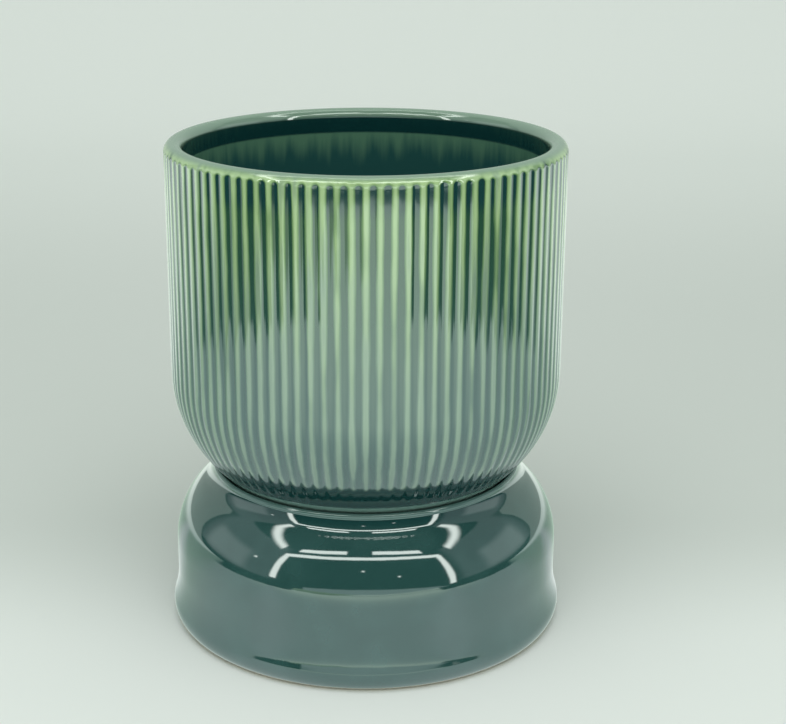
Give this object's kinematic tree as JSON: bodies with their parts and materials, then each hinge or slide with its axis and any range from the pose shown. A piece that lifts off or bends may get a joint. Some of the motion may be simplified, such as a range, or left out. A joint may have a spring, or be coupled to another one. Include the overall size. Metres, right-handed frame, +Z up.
{
  "type": "footed planter",
  "caption": "Fluted round ceramic pot with a rounded rim and a plugged drain, seated in a hollow drum-shaped pedestal that catches the drained water.",
  "frame": {"origin": "on the ground under the middle of the pedestal, on the planter's axis", "axes": "+Z up along the planter's axis, -Y towards the front"},
  "size_m": [0.2056, 0.2056, 0.252],
  "materials": {
    "pot_glaze": "gloss",
    "base_glaze": "gloss",
    "ring_silicone": "matte",
    "plug_silicone": "matte",
    "pad_felt": "matte"
  },
  "bodies": {
    "base": {"pedestal_base": "base_glaze", "foot_pad_1": "pad_felt", "foot_pad_2": "pad_felt", "foot_pad_3": "pad_felt", "foot_pad_4": "pad_felt"},
    "seat": {"seat_ring": "ring_silicone"},
    "pot": {"fluted_pot": "pot_glaze"},
    "plug": {"drain_plug": "plug_silicone"}
  },
  "joints": [
    {"name": "pot_turn", "type": "hinge", "parent": "base", "child": "seat", "pos_m": [0, 0, 0.07], "axis": [0, 0, 1], "continuous": true},
    {"name": "pot_lift", "type": "slide", "parent": "seat", "child": "pot", "axis": [0, 0, 1], "range_m": [0, 0.12]},
    {"name": "plug_pull", "type": "slide", "parent": "pot", "child": "plug", "axis": [0, 0, 1], "range_m": [0, 0.2]}
  ]
}
